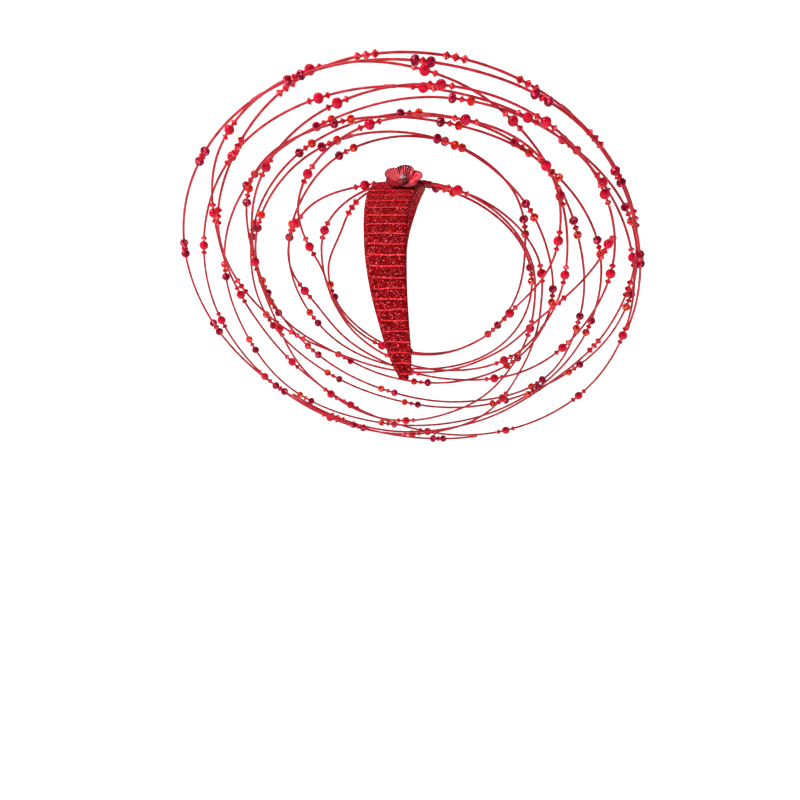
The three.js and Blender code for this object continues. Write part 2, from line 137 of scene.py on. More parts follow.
def cloudedFinish(name, surface, patch, dark, light, places=(0.35, 0.65)):
    # glass, acrylic or thread: its colour goes from dark to light in soft clouds, under faint scratches
    material, tree, shader = newMaterial(name, surface)
    body = addNode(tree, "ShaderNodeTexCoord").outputs["Object"]
    clouds = addNode(tree, "ShaderNodeTexNoise", None,
                     {"Scale": perMillimetre(patch), "Detail": 2.0}, {"Vector": body})
    colour = addNode(tree, "ShaderNodeValToRGB", None, None, {"Fac": clouds.outputs["Fac"]},
                     list(zip(places, (dark, light))))
    tree.links.new(colour.outputs["Color"], shader.inputs["Base Color"])
    scratches = addNode(tree, "ShaderNodeTexNoise", None,
                        {"Scale": perMillimetre(0.6), "Detail": 3.0}, {"Vector": body})
    bump = addNode(tree, "ShaderNodeBump", None, {"Strength": 0.12, "Distance": 0.05 * mm},
                   {"Height": scratches.outputs["Fac"]})
    tree.links.new(bump.outputs["Normal"], shader.inputs["Normal"])
    return material


def glitterRibbon(name, look):
    # woven lame ribbon: deep red ground with flat foil flecks, each of which tips its own way and so flashes;
    # the flecks' lighter colours are painted glints as well
    tip = 0.9       # how far a fleck tips at most, beside a normal of length 1
    material, tree, shader = newMaterial(name, {"IOR": 1.5, "Specular IOR Level": 0.04})
    body = addNode(tree, "ShaderNodeTexCoord").outputs["Object"]
    flecks = addNode(tree, "ShaderNodeTexVoronoi", {"feature": "F1"},
                     {"Scale": perMillimetre(look["fleck"])}, {"Vector": body})
    pick = addNode(tree, "ShaderNodeSeparateColor", None, None, {"Color": flecks.outputs["Color"]})
    patches = addNode(tree, "ShaderNodeTexNoise", None,
                      {"Scale": perMillimetre(5), "Detail": 4.0}, {"Vector": body})
    ground = addNode(tree, "ShaderNodeValToRGB", None, None, {"Fac": patches.outputs["Fac"]}, look["ground"])
    # painted glint: the flecks' colours run up to a light pink that stands for the light they flash
    fleckColourAndPaintedGlint = addNode(tree, "ShaderNodeValToRGB", None, None, {"Fac": pick.outputs["Green"]}, look["fleckColourAndPaintedGlint"])
    isFleck = addNode(tree, "ShaderNodeMapRange", None,
                      {"From Min": 1 - look["share"], "From Max": 1.02 - look["share"]},
                      {"Value": pick.outputs["Red"]}).outputs["Result"]
    paint = addNode(tree, "ShaderNodeMix", {"data_type": "RGBA"}, None,
                    {0: isFleck, 6: ground.outputs["Color"], 7: fleckColourAndPaintedGlint.outputs["Color"]})
    tree.links.new(paint.outputs[2], shader.inputs["Base Color"])
    metal = addNode(tree, "ShaderNodeMapRange", None, {"To Min": 0.0, "To Max": 0.2}, {"Value": isFleck})
    tree.links.new(metal.outputs["Result"], shader.inputs["Metallic"])
    rough = addNode(tree, "ShaderNodeMapRange", None, {"To Min": 0.6, "To Max": 0.36}, {"Value": isFleck})
    tree.links.new(rough.outputs["Result"], shader.inputs["Roughness"])
    tipped = addNode(tree, "ShaderNodeVectorMath", {"operation": "MULTIPLY_ADD"},
                     {1: (tip, tip, tip), 2: (-tip / 2, -tip / 2, -tip / 2)}, {0: flecks.outputs["Color"]})
    straight = addNode(tree, "ShaderNodeNewGeometry").outputs["Normal"]
    both = addNode(tree, "ShaderNodeVectorMath", {"operation": "ADD"}, None,
                   {0: tipped.outputs["Vector"], 1: straight})
    facing = addNode(tree, "ShaderNodeVectorMath", {"operation": "NORMALIZE"}, None,
                     {0: both.outputs["Vector"]})
    tree.links.new(facing.outputs["Vector"], shader.inputs["Normal"])
    return material


def pressedFoil(name, stops):
    # thin metallised foil pressed into flutes, with painted highlights on the ridges, painted shade in the
    # grooves and towards the heart, and darker at the rim
    material, tree, shader = newMaterial(name, {"Roughness": 0.24, "Metallic": 0.35,
                                                "Specular IOR Level": 0.15})
    place = addNode(tree, "ShaderNodeUVMap", {"uv_map": "length"}).outputs["UV"]
    split = addNode(tree, "ShaderNodeSeparateXYZ", None, None, {"Vector": place})
    flute = addNode(tree, "ShaderNodeMath", {"operation": "PINGPONG"}, {1: 0.5}, {0: split.outputs["X"]})
    paintedRidgeLightGrooveShade = addNode(tree, "ShaderNodeValToRGB", None, None, {"Fac": flute.outputs["Value"]}, stops)
    # painted shade towards the heart; darker at the rim too
    rim = addNode(tree, "ShaderNodeValToRGB", None, None, {"Fac": split.outputs["Y"]},
                  [(0.0, "#7C7C7C"), (0.3, "#FFFFFF"), (0.9, "#FFFFFF"), (1.0, "#707070")])
    paint = addNode(tree, "ShaderNodeMix", {"data_type": "RGBA", "blend_type": "MULTIPLY"}, {0: 1},
                    {6: paintedRidgeLightGrooveShade.outputs["Color"], 7: rim.outputs["Color"]})
    tree.links.new(paint.outputs[2], shader.inputs["Base Color"])
    body = addNode(tree, "ShaderNodeTexCoord").outputs["Object"]
    creases = addNode(tree, "ShaderNodeTexNoise", None,
                      {"Scale": perMillimetre(2.5), "Detail": 2.0}, {"Vector": body})
    bump = addNode(tree, "ShaderNodeBump", None, {"Strength": 0.15, "Distance": 0.2 * mm},
                   {"Height": creases.outputs["Fac"]})
    tree.links.new(bump.outputs["Normal"], shader.inputs["Normal"])
    return material


wireFinish = wrappedWire()
threadFinish = cloudedFinish("rayonTieThread", {"Roughness": 0.45, "IOR": 1.5, "Specular IOR Level": 0.4},
                             2, "#A01020", "#D03040")
# polished: moulded acrylic, tumbled until it shines softly
# cut: glass ground in flat facets, clear and deep in colour
polished = {"Roughness": 0.1, "IOR": 1.49, "Specular IOR Level": 0.18}
cut = {"Roughness": 0.1, "IOR": 1.54, "Specular IOR Level": 0.08}
# a bead's facets draw their finish from this list: the lighter copies of each cut glass are painted glints
# and the darker copies painted shade, both given to single facets at random
beadFinishes = [
    cloudedFinish("polishedRoseAcrylic", {**polished, "Subsurface Weight": 0.05, "Subsurface Scale": 2 * mm},
                  6, "#B20026", "#D4042E"),
    cloudedFinish("cutGarnetGlass", cut, 3, "#7E0020", "#A6042C"),
    cloudedFinish("cutOrangeGlass", {**cut, "Transmission Weight": 0.25}, 3, "#D20E08", "#F02412"),
    cloudedFinish("cutRedGlass", {**cut, "Transmission Weight": 0.2}, 3, "#CE0C1E", "#F22436"),
    cloudedFinish("cutGarnetGlassPaintedGlint", cut, 3, "#CC2448", "#E85474"),
    cloudedFinish("cutGarnetGlassPaintedShade", cut, 3, "#5A0016", "#740020"),
    cloudedFinish("cutOrangeGlassPaintedGlint", cut, 3, "#FF5038", "#FF8468"),
    cloudedFinish("cutOrangeGlassPaintedShade", cut, 3, "#960804", "#B00C06"),
    cloudedFinish("cutRedGlassPaintedGlint", cut, 3, "#F84458", "#FF8890"),
    cloudedFinish("cutRedGlassPaintedShade", cut, 3, "#8E0414", "#AA0A1C"),
]
# crystal with a mirror behind it: silver, with a hard bright gloss
crystalFinish = cloudedFinish("mirrorBackedCrystal",
                              {"Roughness": 0.05, "Metallic": 0.85, "Coat Weight": 1.0},
                              2, "#8C8488", "#F2ECEC", (0.4, 0.6))
# fleck: size in mm, real ones are finer; share: how many of the flecks are foil
ribbonFinish = glitterRibbon("glitterRibbon", {
    "fleck": 0.6, "share": 0.2, "ground": [(0.3, "#580004"), (0.5, "#760006"), (0.72, "#92020A")],
    "fleckColourAndPaintedGlint": [(0.1, "#A40812"), (0.55, "#C81824"), (0.95, "#FF6870")]})
# painted highlight: the free edge of each wrap is coloured brighter, as where light catches the raised edge,
# so that each wrap shows
edgePaintedHighlightFinish = glitterRibbon("ribbonEdgePaintedHighlight", {
    "fleck": 0.62, "share": 0.2, "ground": [(0.3, "#D4182A"), (0.6, "#EA2A36")],
    "fleckColourAndPaintedGlint": [(0.2, "#E63C46"), (0.8, "#FF7278")]})
# painted light: three copies of one foil, painted lighter and darker for petals that catch more or less light
foilFinishes = [
    pressedFoil("pressedRedFoil",
                [(0.04, "#F84458"), (0.16, "#C80A20"), (0.34, "#A00416"), (0.5, "#84020E")]),
    pressedFoil("paintedShadeRedFoil", [(0.05, "#FF6E7C"), (0.14, "#980A20"), (0.3, "#560210"), (0.5, "#40000A")]),
    pressedFoil("paintedLightRedFoil", [(0.08, "#FF98A0"), (0.24, "#EE3444"), (0.5, "#DA1426")]),
]
print("materials made")

# halo: the wires' routes, as in the part's source; lengths in mm, angles in degrees

halo = {
    "radius": 217.4, "crossing": (-6.4, -11.9, 7.5), "crossingClock": 354, "crossingShare": 0.51,
    "lean": 45.6, "roll": 11.7, "sight": (-661, 0, -181.8), "layerPitch": 2.6, "middleLayer": 9,
    "hourAngle": 30, "turnGap": 0.3, "stepsPerDegree": 2,
}
rollTurn = Matrix.Rotation(math.radians(halo["roll"]), 3, "X")
leanAngle = math.radians(halo["lean"])
toFace = rollTurn @ Vector((0, -1, 0))
upward = rollTurn @ Vector((-math.sin(leanAngle), 0, math.cos(leanAngle)))
outOfPlane = toFace.cross(upward)
crossingTurn = math.radians(halo["crossingClock"])
haloCentre = (Vector(halo["crossing"]) - halo["crossingShare"] * halo["radius"]
              * (toFace * math.sin(crossingTurn) + upward * math.cos(crossingTurn)))
sightPoint = Vector(halo["sight"])


def haloPoint(clock, share, height):
    turn = math.radians(clock)
    reach = share * halo["radius"]
    point = haloCentre + toFace * (reach * math.sin(turn)) + upward * (reach * math.cos(turn))
    sight = point - sightPoint
    return point + sight * (height / sight.dot(outOfPlane))


wires = [
    {"name": "rose_string", "kind": "rose", "startHour": 5, "closed": True,
     "shares": [
         0.90, 1.00, 1.00, 0.965, 0.925, 0.908, 0.885, 0.883, 0.917, 0.948, 0.985, 1.02,
         1.00, 0.895, 0.808, 0.785, 0.85, 0.965, 0.99, 0.93, 0.82, 0.71, 0.648, 0.61,
         0.53, 0.455, 0.40, 0.37, 0.395, 0.59, 0.715, 0.785, 0.812, 0.665, 0.49, 0.44,
         0.42, 0.40, 0.38, 0.365, 0.385, 0.443, 0.482, 0.509, 0.53, 0.55, 0.57, 0.65,
         0.79, 0.89, 0.80, 0.69, 0.70, 0.772, 0.84, 0.902, 0.93, 0.90, 0.81, 0.72,
         0.59, 0.50, 0.46, 0.455, 0.54, 0.548, 0.505, 0.502, 0.54, 0.58, 0.60, 0.70],
     "turns": [
         {"hours": 12, "layer": 4,
          "groups": [170, 196, 220, 243, 269, 299.5, 329, 355, 380.5, 405, 427.5, 452, 476, 501]},
         {"hours": 12, "layer": 8,
          "groups": [165, 192, 219, 251.5, 280.5, 305, 330, 355, 378, 402.5, 431.5, 482]},
         {"hours": 12, "layer": 12, "groups": [180, 281.5, 312.5, 340, 367, 392.5, 417, 455]},
         {"hours": 12, "layer": 9, "groups": [190, 296, 374, 460]},
         {"hours": 12, "layer": 11,
          "groups": [172, 200, 234, 266, 303.5, 333, 359, 384.5, 408, 432, 463, 492]},
         {"hours": 12, "layer": 7, "groups": [170, 251.5, 291, 331, 430, 495]}]},
    {"name": "mixed_string", "kind": "mixed", "startHour": 5, "closed": True,
     "shares": [
         0.88, 0.925, 0.95, 0.875, 0.83, 0.797, 0.795, 0.857, 0.918, 0.975, 0.94, 0.855,
         0.79, 0.73, 0.713, 0.723, 0.712, 0.722, 0.752, 0.79, 0.80, 0.76, 0.775, 0.82,
         0.75, 0.68, 0.65, 0.652, 0.69, 0.70, 0.713, 0.698, 0.655, 0.628, 0.638, 0.64,
         0.61, 0.58, 0.572, 0.655, 0.705, 0.80, 0.778, 0.765, 0.802, 0.83, 0.828, 0.842],
     "turns": [
         {"hours": 12, "layer": 0,
          "groups": [178, 206, 231.7, 261, 296.7, 327.3, 364.5, 392.4, 415.3, 440.7, 468.5, 497]},
         {"hours": 12, "layer": 1, "groups": [170, 203.5, 239, 279.5, 318, 351.8, 384, 414.3, 451, 481]},
         {"hours": 12, "layer": 6, "groups": [180, 218, 254.6, 284, 325.7, 363.5, 401.5, 441, 480]},
         {"hours": 12, "layer": 3,
          "groups": [165, 205, 244.3, 291.3, 332.5, 363.2, 395, 422.7, 451.7, 484.3]}]},
    {"name": "inner_mixed_string", "kind": "mixed", "startHour": 5, "closed": True,
     "shares": [
         0.51, 0.50, 0.505, 0.51, 0.538, 0.585, 0.66, 0.695, 0.65, 0.53, 0.47, 0.44,
         0.415, 0.385, 0.36, 0.355, 0.36, 0.375, 0.468, 0.492, 0.515, 0.54, 0.54, 0.53],
     "turns": [
         {"hours": 12, "layer": 2, "groups": [233.5, 286, 329.7, 366, 406.3, 470]},
         {"hours": 12, "layer": 5, "groups": [175, 250, 368.5, 430], "seeds": [319]}]},
    {"name": "seed_string", "kind": "seed", "startHour": 2, "closed": False, "tiedLayers": [11, 14],
     "shares": [
         0.889, 0.625, 0.55, 0.53, 0.53, 0.57, 0.71, 0.845, 0.905, 0.98,
         1.005, 1.005, 0.985, 0.913, 0.858, 0.91, 0.979, 0.976],
     "turns": [
         {"hours": 9, "layer": 13, "ends": [64.3], "groups": [84, 228, 255, 280, 303, 323]},
         {"hours": 8, "layer": 10, "groups": [342.7, 361, 376.5, 395, 417, 437, 458, 554]}]},
    {"name": "rim_string", "kind": "dark", "startHour": 5, "closed": False, "tiedLayers": [6, 4],
     "shares": [1.011, 1.00, 0.993, 1.01, 1.016, 1.003, 0.983, 0.975, 0.998, 0.985, 0.993],
     "turns": [
         {"hours": 10, "layer": 14,
          "groups": [162, 187, 213.9, 241, 267, 294.7, 326, 354.5, 380.5, 405.5, 428.3]}]},
]


def shareOn(wire, clock):
    shares = wire["shares"]
    count = len(shares)
    way = (clock - halo["hourAngle"] * wire["startHour"]) / halo["hourAngle"]
    k = math.floor(way) if wire["closed"] else min(max(math.floor(way), 0), count - 2)

    def at(i):
        if wire["closed"]:
            return shares[i % count]
        if i < 0:
            return 2 * shares[0] - shares[1]
        if i > count - 1:
            return 2 * shares[-1] - shares[-2]
        return shares[i]
    return smoothBetween(at(k - 1), at(k), at(k + 1), at(k + 2), way - k)


def turnHeight(wire, number, clock, start, end):
    layers = [turn["layer"] for turn in wire["turns"]]
    own = layers[number]
    openEnd = not wire["closed"]
    before = (own + layers[number - 1]) / 2
    after = (own + layers[(number + 1) % len(layers)]) / 2
    if openEnd and number == 0:
        before = wire["tiedLayers"][0]
    if openEnd and number == len(layers) - 1:
        after = wire["tiedLayers"][1]
    toBefore = 1 - ease((clock - start) / halo["hourAngle"])
    toAfter = 1 - ease((end - clock) / halo["hourAngle"])
    height = own + toBefore * (before - own) + toAfter * (after - own)
    return halo["layerPitch"] * (height - halo["middleLayer"])


def turnPath(wire, number):
    hoursBefore = sum(turn["hours"] for turn in wire["turns"][:number])
    turned = wire["closed"] or len(wire["turns"]) > 1
    wound = 360 * (hoursBefore // 12) if turned else 0
    start = halo["hourAngle"] * (wire["startHour"] + hoursBefore) - wound
    end = start + halo["hourAngle"] * wire["turns"][number]["hours"]
    path = []
    way = 0.0
    for step in range(halo["stepsPerDegree"] * (end - start) + 1):
        clock = start + step / halo["stepsPerDegree"]
        height = turnHeight(wire, number, clock, start, end)
        point = haloPoint(clock, shareOn(wire, clock + wound), height)
        if path:
            way += (point - path[-1][1]).length
        path.append((way, point, clock))
    return path


def pointAt(path, way):
    low, high = 0, len(path) - 2
    while low < high:
        middle = (low + high + 1) // 2
        if path[middle][0] < way:
            low = middle
        else:
            high = middle - 1
    t = (way - path[low][0]) / (path[low + 1][0] - path[low][0])
    return path[low][1].lerp(path[low + 1][1], t)


def wayAt(path, clock):
    k = min(max(int((clock - path[0][2]) * halo["stepsPerDegree"]), 0), len(path) - 2)
    t = (clock - path[k][2]) / (path[k + 1][2] - path[k][2])
    return path[k][0] + t * (path[k + 1][0] - path[k][0])


def directionAt(path, way):
    return (pointAt(path, way + 1) - pointAt(path, way - 1)).normalized()


def crossFrame(direction, side):
    side = (side - direction * side.dot(direction)).normalized()
    return side, direction.cross(side)


def squared(turn, powers):      # a point of a unit ring that is pressed towards a square
    x, y = math.cos(turn), math.sin(turn)
    return math.copysign(abs(x) ** powers[0], x), math.copysign(abs(y) ** powers[1], y)


# strings of beads, sizes in mm

# lump: how much the thread's thickness varies; bareEnd: no bead stands nearer to an end of its wire
# around: what once round the wire counts for in its map, in mm, so that the wraps of thread run aslant
wireLook = {"diameter": 2.25, "sides": 8, "step": 3.0, "lump": 0.05, "bareEnd": 5, "around": 4}
beadSizes = (0.95, 1.03)        # beads of one kind differ in size within these shares
# rings: place along the bead and radius, as shares of its length and radius
# twist: every second ring is turned by half a facet
# facets: the finishes that a facet's own is drawn from, as places in beadFinishes; places 4 to 9 are the
# copies with painted glints and painted shade
beadLooks = {
    "rose": {"diameter": 9.0, "length": 8.4, "sides": 18, "twist": False, "smooth": True, "facets": [0],
             "rings": [(-0.5, 0.3), (-0.46, 0.5), (-0.36, 0.74), (-0.22, 0.92), (-0.08, 0.99), (0.08, 0.99),
                       (0.22, 0.92), (0.36, 0.74), (0.46, 0.5), (0.5, 0.3)]},
    "garnet": {"diameter": 8.8, "length": 6.8, "sides": 10, "twist": True, "smooth": False,
               "facets": [1, 1, 1, 5, 4, 5],
               "rings": [(-0.5, 0.42), (-0.34, 0.8), (0, 1.0), (0.34, 0.8), (0.5, 0.42)]},
    "orange": {"diameter": 8.2, "length": 6.6, "sides": 10, "twist": True, "smooth": False,
               "facets": [2, 2, 2, 2, 6, 7],
               "rings": [(-0.5, 0.42), (-0.34, 0.8), (0, 1.0), (0.34, 0.8), (0.5, 0.42)]},
    "seed": {"diameter": 7.2, "length": 5.0, "sides": 7, "twist": True, "smooth": False,
             "facets": [3, 3, 3, 3, 8, 9],
             "rings": [(-0.5, 0.4), (-0.24, 0.7), (0, 1.0), (0.24, 0.7), (0.5, 0.4)]},
    "red": {"diameter": 6.4, "length": 4.4, "sides": 7, "twist": True, "smooth": False,
            "facets": [3, 3, 3, 3, 8, 9],
            "rings": [(-0.5, 0.4), (-0.24, 0.68), (0, 1.0), (0.24, 0.68), (0.5, 0.4)]},
}
groupLooks = {      # the beads of one group: place from its middle in mm, and kind
    "rose": [(-8.6, "red"), (0, "rose"), (8.6, "red")],
    "mixed": [(-7.8, "garnet"), (0, "red"), (7.8, "orange")],
    "dark": [(-6, "garnet"), (0, "seed"), (6, "garnet")],
    "seed": [(-7, "seed"), (0, "seed"), (7, "seed")],
    "end": [(-7.6, "rose"), (0, "seed"), (6.4, "seed")],
}
dice = random.Random(31)


def wireMesh(name, path):
    points, faces, uv = [], [], []
    sides, radius = wireLook["sides"], wireLook["diameter"] / 2
    length = path[-1][0]
    start, end = halo["turnGap"] / 2, length - halo["turnGap"] / 2
    count = math.ceil((end - start) / wireLook["step"])
    side = outOfPlane
    for k in range(count + 1):
        way = start + (end - start) * k / count
        side, other = crossFrame(directionAt(path, way), side)
        middle = pointAt(path, way)
        thick = radius * (1 + wireLook["lump"] * dice.uniform(-1, 1))
        for i in range(sides):
            turn = 2 * math.pi * i / sides
            points.append(middle + side * (thick * math.cos(turn)) + other * (thick * math.sin(turn)))
        if k:
            now, before = k * sides, (k - 1) * sides
            beforeWay = start + (end - start) * (k - 1) / count
            for i in range(sides):
                j = (i + 1) % sides
                faces.append((before + i, before + j, now + j, now + i))
                low, high = wireLook["around"] * i / sides, wireLook["around"] * (i + 1) / sides
                uv.append(((beforeWay, low), (beforeWay, high), (way, high), (way, low)))
    last = count * sides
    faces.append(tuple(reversed(range(sides))))
    faces.append(tuple(range(last, last + sides)))
    uv += [tuple((0, 0) for _ in range(sides))] * 2
    return newMesh(name, points, faces, [wireFinish], uv=uv)


def addBead(build, middle, direction, look):
    points, faces, faceMaterial, smooth = build
    side, other = crossFrame(direction, outOfPlane)
    sides, spin = look["sides"], dice.uniform(0, math.pi)
    size = dice.uniform(*beadSizes)
    first = len(points)
    for k, (place, share) in enumerate(look["rings"]):
        radius = share * size * look["diameter"] / 2
        half = 0.5 * (k % 2) if look["twist"] else 0
        for i in range(sides):
            turn = spin + 2 * math.pi * (i + half) / sides
            points.append(middle + direction * (place * look["length"])
                          + side * (radius * math.cos(turn)) + other * (radius * math.sin(turn)))
    made = []
    for k in range(len(look["rings"]) - 1):
        a, b = first + k * sides, first + (k + 1) * sides
        for i in range(sides):
            j = (i + 1) % sides
            if not look["twist"]:
                made.append((a + i, a + j, b + j, b + i))
            elif k % 2 == 0:
                made += [(a + i, a + j, b + i), (a + j, b + j, b + i)]
            else:
                made += [(a + i, b + j, b + i), (a + i, a + j, b + j)]
    top = first + (len(look["rings"]) - 1) * sides
    made += [tuple(reversed(range(first, first + sides))), tuple(range(top, top + sides))]
    faces += made
    faceMaterial += [dice.choice(look["facets"]) for _ in made]
    smooth += [look["smooth"]] * (len(made) - 2) + [False, False]


def beadsMesh(name, path, placed):
    build = ([], [], [], [])
    length = path[-1][0]
    for clock, kind in placed:
        for place, look in groupLooks[kind]:
            way = wayAt(path, clock) + place
            if wireLook["bareEnd"] < way < length - wireLook["bareEnd"]:
                addBead(build, pointAt(path, way), directionAt(path, way), beadLooks[look])
    points, faces, faceMaterial, smooth = build
    return newMesh(name, points, faces, beadFinishes, faceMaterial, smooth)


paths = {}
for wire in wires:
    for number, turn in enumerate(wire["turns"]):
        node = f"{wire['name']}_{number + 1}" if len(wire["turns"]) > 1 else wire["name"]
        path = turnPath(wire, number)
        paths[node] = path
        strand = wireMesh(f"wrapped_wire_{node}", path)
        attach(strand, "root")
        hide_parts(node)
        placed = [(clock, wire["kind"]) for clock in turn["groups"]]
        placed += [(clock, "seed") for clock in turn.get("seeds", [])]
        placed += [(clock, "end") for clock in turn.get("ends", [])]
        beads = beadsMesh(f"beads_{node}", path, placed)
        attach(beads, "root")
        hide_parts(node)
print("strings made")

# where one wire is tied to another, or wound over by itself, the thread lies in close turns
# low: thickness between two turns, as a share of the thread; square: how square the coil is, across and up
tieLook = {"thread": 0.5, "around": 14, "pitch": 0.9, "stepsPerTurn": 4, "low": 0.4, "taper": 6,
           "square": (0.7, 0.85)}
ties = [
    {"node": "seed_string_1", "clock": 60.8, "to": "rose_string_5", "length": 6},
    {"node": "seed_string_2", "clock": 569, "to": "rim_string", "length": 6},
    {"node": "rim_string", "clock": 151, "to": "rose_string_2", "length": 6},
    {"node": "rim_string", "clock": 449, "to": "rose_string_1", "length": 6},
    {"node": "rim_string", "clock": 316, "to": None, "length": 14},
    {"node": "seed_string_2", "clock": 386, "to": None, "length": 12},
    {"node": "rose_string_2", "clock": 457, "to": None, "length": 10},
    {"node": "rose_string_1", "clock": 347, "to": None, "length": 12},
    {"node": "mixed_string_3", "clock": 332, "to": None, "length": 12},
    {"node": "rose_string_3", "clock": 355, "to": None, "length": 14},
]


def tieMesh(name, tie):
    path = paths[tie["node"]]
    way = wayAt(path, tie["clock"])
    start, ahead = pointAt(path, way), directionAt(path, way)
    if tie["to"]:
        nearest = min((point for _, point, _ in paths[tie["to"]]), key=lambda point: (point - start).length)
        wide, high = crossFrame(ahead, nearest - start)
        reach = (nearest - start).dot(wide) / 2
    else:
        wide, high = crossFrame(ahead, outOfPlane)
        reach = 0
    middle = start + wide * reach
    turns = tie["length"] / tieLook["pitch"]
    steps = round(turns * tieLook["stepsPerTurn"])
    points, faces = [], []
    around, core = tieLook["around"], wireLook["diameter"] / 2
    for k in range(steps + 1):
        share = k / steps
        ends = min(1, tieLook["taper"] * share, tieLook["taper"] * (1 - share))
        for i in range(around):
            turn = 2 * math.pi * i / around
            wave = abs(math.sin(math.pi * turns * share + turn / 2))
            grow = tieLook["thread"] * ends * (tieLook["low"] + (1 - tieLook["low"]) * wave)
            x, y = squared(turn, tieLook["square"])
            points.append(middle + ahead * ((share - 0.5) * tie["length"])
                          + wide * (x * (reach + core + grow)) + high * (y * (core + grow)))
    for k in range(steps):
        a, b = k * around, (k + 1) * around
        for i in range(around):
            j = (i + 1) % around
            faces.append((a + i, a + j, b + j, b + i))
    faces.append(tuple(reversed(range(around))))
    faces.append(tuple(range(steps * around, (steps + 1) * around)))
    return newMesh(name, points, faces, [threadFinish])


for number, tie in enumerate(ties):
    coil = tieMesh(f"thread_tie_{number + 1}", tie)
    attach(coil, "root")
print("ties made")

# headband: a stiff core wound with glitter ribbon, sizes in mm

band = {
    "halfWidth": 75, "archRise": 88, "armDrop": 74, "armTuck": 6, "wall": 3.2, "wrapStep": 0.7,
    "wraps": 25, "crownWidth": 42, "setBack": 11,
    "down": [0, 0.18, 0.36, 0.55, 0.70, 0.83, 0.94, 1.0],
    "width": [1, 0.97, 0.86, 0.78, 0.67, 0.54, 0.38, 9 / 42],
    "back": [-0.09, 0.45, 0.95, 1.0, 0.75, 0.35, -0.10, -0.35],
    # one wrap from its start to its free edge: share of the wrap, share of the step, extra in mm
    "lap": [(0.0, 0.0, 0.0), (0.06, 0.04, 0.0), (0.3, 0.3, 0.05), (0.6, 0.62, 0.05), (0.77, 0.8, 0.0),
            (0.81, 0.88, 0.16), (0.875, 0.95, 0.24), (0.94, 1.0, 0.16), (0.97, 1.0, 0.0)],
    # edge: the free edge's place along a wrap, which takes the painted highlight; shoulder: where the outside
    # starts to round off, and how much
    "edge": (0.8, 0.95), "shoulder": (0.78, 0.72), "acrossSteps": 22,
    # slant, wave: how far, in mm, a wrap's edge leans and waves across the band
    # straight: how soon it starts to, from the crown and from the tip
    "slant": 0.5, "wave": 0.22, "waves": 3.1, "straight": (8, 12),
    # the inner corners of a ring: place across, and height as a share of the wall
    "corners": [(1.0, 0.25), (0.93, 0.0), (-0.93, 0.0), (-1.0, 0.25)],
    # the tip's last rings: height as a share of the wall, and width as a share
    "tipRings": [(0.8, 0.82), (0.5, 0.5)],
}
roundArch = 0.5 * math.pi * math.sqrt((band["halfWidth"] ** 2 + band["archRise"] ** 2) / 2)
halfArch = roundArch + band["armDrop"]


def bandValue(column, down):
    rows, values = band["down"], band[column]
    k = 0
    while k < len(rows) - 2 and rows[k + 1] < down:
        k += 1
    t = (down - rows[k]) / (rows[k + 1] - rows[k])
    before, after = values[max(k - 1, 0)], values[min(k + 2, len(rows) - 1)]
    return smoothBetween(before, values[k], values[k + 1], after, t)


def archPoint(down):
    way = down * halfArch
    if way <= roundArch:
        t = way / roundArch * math.pi / 2
        return band["halfWidth"] * math.sin(t), band["archRise"] * (math.cos(t) - 1)
    arm = (way - roundArch) / band["armDrop"]
    return band["halfWidth"] - band["armTuck"] * arm * arm, -band["archRise"] - band["armDrop"] * arm


def archNormal(down):
    if down <= 0:
        return 0.0, 1.0
    x0, z0 = archPoint(max(down - 0.002, 0))
    x1, z1 = archPoint(min(down + 0.002, 1))
    length = math.hypot(x1 - x0, z1 - z0)
    return -(z1 - z0) / length, (x1 - x0) / length


def bandPoint(side, down, across, rise, squeeze=1.0):
    x, z = archPoint(down)
    nx, nz = archNormal(down)
    half = 0.5 * band["crownWidth"] * bandValue("width", down) * squeeze
    middle = band["setBack"] * bandValue("back", down)
    return Vector((side * (x + nx * rise), middle + across * half, z + nz * rise))


def bandRing(side, down, wall, lean, phase, squeeze=1.0):
    ring = []
    steps = band["acrossSteps"]
    shoulder, drop = band["shoulder"]
    free = min(1, down * band["straight"][0]) * min(1, (1 - down) * band["straight"][1])
    for i in range(steps + 1):
        across = -1 + 2 * i / steps
        past = max(0, abs(across) - shoulder) / (1 - shoulder)
        crowned = math.sqrt(max(0, 1 - past ** 2 * drop))
        wave = band["wave"] * math.sin(band["waves"] * across + phase)
        shift = (lean * across * band["slant"] + wave) * free
        place = min(max(down + shift / halfArch, 0), 1)
        ring.append(bandPoint(side, place, across, wall * crowned, squeeze))
    for across, rise in band["corners"]:
        ring.append(bandPoint(side, down, across, rise * wall, squeeze))
    return ring


def bandArm(side):
    rings, paintedHighlightRows = [], []
    for k in range(band["wraps"]):
        lean, phase = dice.uniform(-1, 1), dice.uniform(0, 6)
        for share, step, extra in band["lap"]:
            if k == 0 and share == 0:
                continue
            wall = band["wall"] + band["wrapStep"] * step + extra
            rings.append(bandRing(side, (k + share) / band["wraps"], wall, lean, phase))
            paintedHighlightRows.append(band["edge"][0] < share < band["edge"][1])
    for rise, squeeze in band["tipRings"]:
        rings.append(bandRing(side, 1.0, rise * band["wall"], 0, 0, squeeze))
        paintedHighlightRows.append(False)
    return rings, paintedHighlightRows


